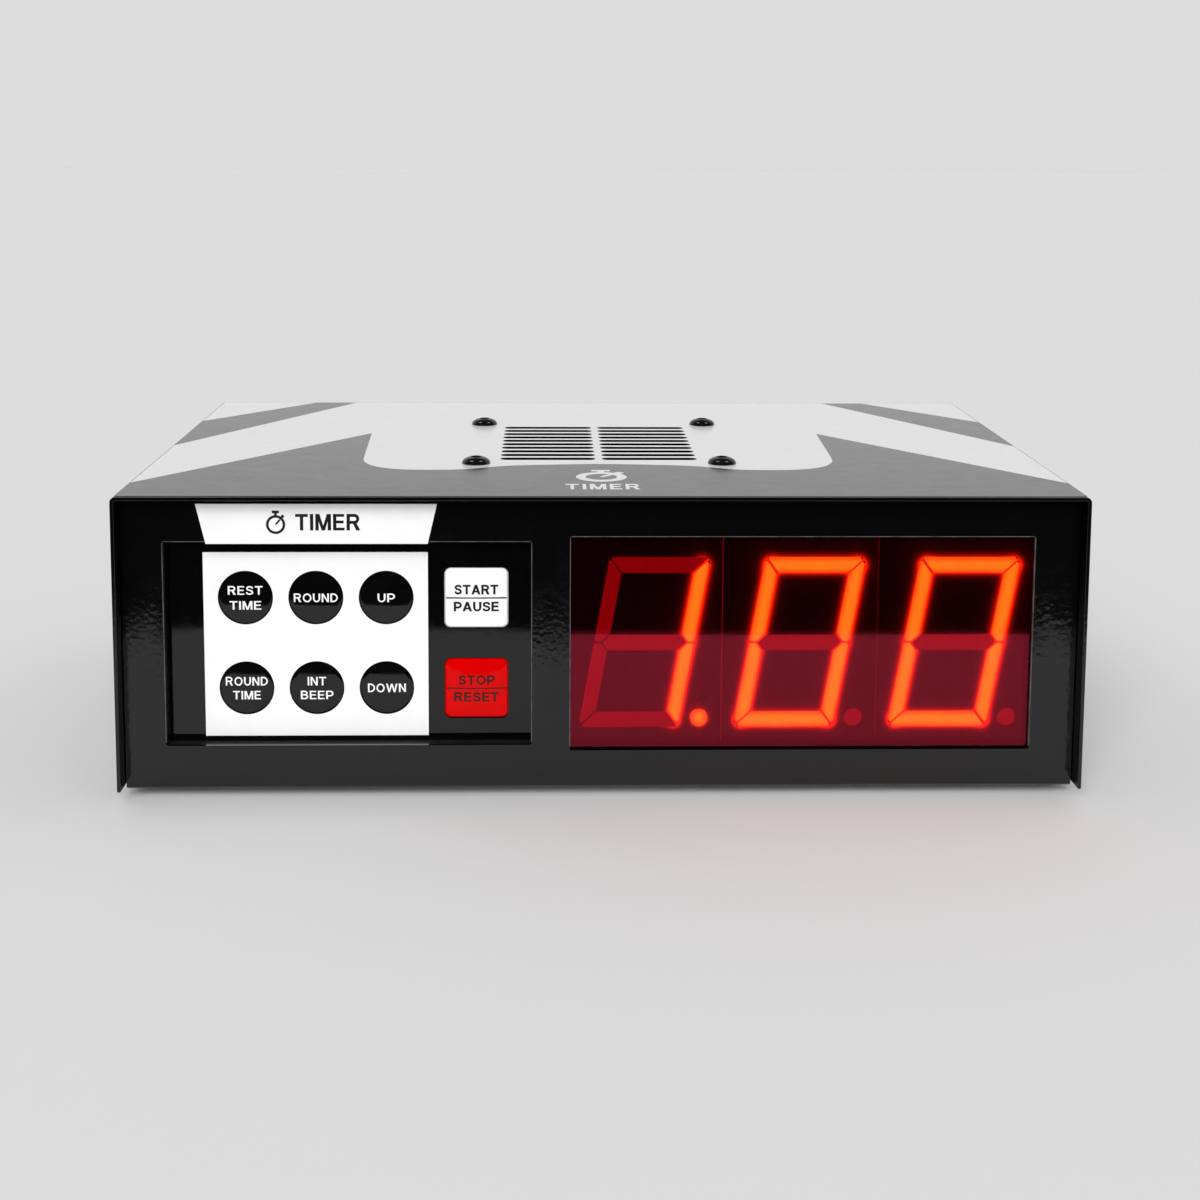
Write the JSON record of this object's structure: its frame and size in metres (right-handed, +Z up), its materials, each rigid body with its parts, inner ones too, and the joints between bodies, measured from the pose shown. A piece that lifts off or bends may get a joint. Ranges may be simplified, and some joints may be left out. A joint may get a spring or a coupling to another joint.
{
  "type": "gym round timer",
  "caption": "Low black steel gym timer with a recessed front keypad, a red seven-segment display, a speaker vent in its printed top, and rear controls.",
  "frame": {"origin": "under the middle of the timer's overall box, on the surface that its feet stand on", "axes": "+X to the right seen from the front, +Y to the rear, +Z up"},
  "size_m": [0.312, 0.209, 0.1025],
  "materials": {
    "powder_coat": "glossy black powder coat with a fine orange peel",
    "printed_film": "white and charcoal printed film",
    "label_white": "satin white printed label",
    "black_screw": "black oxide, semi-gloss",
    "zinc": "zinc plated",
    "rubber": "matt black rubber",
    "black_plastic": "fine grained black plastic",
    "overlay": "gloss black film with a white printed field",
    "clear_film": "clear polyester",
    "circuit_board": "green solder mask",
    "black_key": "gloss black",
    "white_key": "gloss white",
    "red_key": "gloss red",
    "red_acrylic": "polished red tinted acrylic",
    "tape": "black foam tape",
    "digit_case": "matt black potting case",
    "diffuser": "red orange diffusing epoxy",
    "paper_cone": "pressed black paper",
    "ferrite": "ferrite and steel",
    "knob_plastic": "satin black with fine grain",
    "grey_cable": "grey PVC ribbon",
    "black_cable": "black PVC jacket"
  },
  "bodies": {
    "housing": {"top_cover": "powder_coat", "chassis": "powder_coat", "top_decal": "printed_film", "header_label": "label_white", "cover_screw_front_left": "black_screw", "cover_screw_front_right": "black_screw", "cover_screw_rear_left": "black_screw", "cover_screw_rear_right": "black_screw", "speaker_screw_front_left": "black_screw", "speaker_screw_front_right": "black_screw", "speaker_screw_rear_left": "black_screw", "speaker_screw_rear_right": "black_screw", "foot_front_left": "rubber", "foot_front_right": "rubber", "foot_rear_left": "rubber", "foot_rear_right": "rubber", "keypad_frame": "black_plastic", "keypad_overlay": "overlay", "keypad_spacer": "black_plastic", "dome_sheet": "clear_film", "keypad_board": "circuit_board", "display_lens": "red_acrylic", "lens_tape": "tape", "digit_housing_1": "digit_case", "digit_housing_2": "digit_case", "digit_housing_3": "digit_case", "digit_segments_1": "diffuser", "digit_segments_2": "diffuser", "digit_segments_3": "diffuser", "display_board": "circuit_board", "board_standoff_1": "zinc", "board_standoff_2": "zinc", "board_standoff_3": "zinc", "board_standoff_4": "zinc", "controller_chip": "black_plastic", "filter_capacitor": "black_plastic", "speaker_gasket": "rubber", "speaker_basket": "zinc", "speaker_magnet": "ferrite", "speaker_ring": "zinc", "dc_jack": "black_plastic", "power_switch": "black_plastic", "volume_pot": "zinc", "volume_nut": "zinc", "ribbon_cable": "grey_cable", "speaker_lead": "black_cable", "jack_lead": "black_cable", "power_lead": "black_cable", "volume_lead": "black_cable"},
    "key_rest_time": {"key_rest_time": "black_key"},
    "key_round": {"key_round": "black_key"},
    "key_up": {"key_up": "black_key"},
    "key_round_time": {"key_round_time": "black_key"},
    "key_int_beep": {"key_int_beep": "black_key"},
    "key_down": {"key_down": "black_key"},
    "key_start_pause": {"key_start_pause": "white_key"},
    "key_stop_reset": {"key_stop_reset": "red_key"},
    "speaker_cone": {"speaker_cone": "paper_cone"},
    "power_rocker": {"power_rocker": "black_plastic"},
    "volume_knob": {"volume_knob": "knob_plastic"}
  },
  "joints": [
    {"name": "key_rest_time_press", "type": "slide", "parent": "housing", "child": "key_rest_time", "axis": [0, 1, 0], "range_m": [0, 0.0005], "stiffness_N_per_m": 900},
    {"name": "key_round_press", "type": "slide", "parent": "housing", "child": "key_round", "axis": [0, 1, 0], "range_m": [0, 0.0005], "stiffness_N_per_m": 900},
    {"name": "key_up_press", "type": "slide", "parent": "housing", "child": "key_up", "axis": [0, 1, 0], "range_m": [0, 0.0005], "stiffness_N_per_m": 900},
    {"name": "key_round_time_press", "type": "slide", "parent": "housing", "child": "key_round_time", "axis": [0, 1, 0], "range_m": [0, 0.0005], "stiffness_N_per_m": 900},
    {"name": "key_int_beep_press", "type": "slide", "parent": "housing", "child": "key_int_beep", "axis": [0, 1, 0], "range_m": [0, 0.0005], "stiffness_N_per_m": 900},
    {"name": "key_down_press", "type": "slide", "parent": "housing", "child": "key_down", "axis": [0, 1, 0], "range_m": [0, 0.0005], "stiffness_N_per_m": 900},
    {"name": "key_start_pause_press", "type": "slide", "parent": "housing", "child": "key_start_pause", "axis": [0, 1, 0], "range_m": [0, 0.0005], "stiffness_N_per_m": 900},
    {"name": "key_stop_reset_press", "type": "slide", "parent": "housing", "child": "key_stop_reset", "axis": [0, 1, 0], "range_m": [0, 0.0005], "stiffness_N_per_m": 900},
    {"name": "rocker_tilt", "type": "hinge", "parent": "housing", "child": "power_rocker", "pos_m": [-0.084, 0.091, 0.05], "axis": [-1, 0, 0], "range_deg": [0, 18]},
    {"name": "volume_turn", "type": "hinge", "parent": "housing", "child": "volume_knob", "pos_m": [0.104, 0.0985, 0.05], "axis": [0, -1, 0], "range_deg": [-150, 150]},
    {"name": "cone_throw", "type": "slide", "parent": "housing", "child": "speaker_cone", "axis": [0, 0, 1], "range_m": [-0.001, 0.001], "stiffness_N_per_m": 1500}
  ]
}
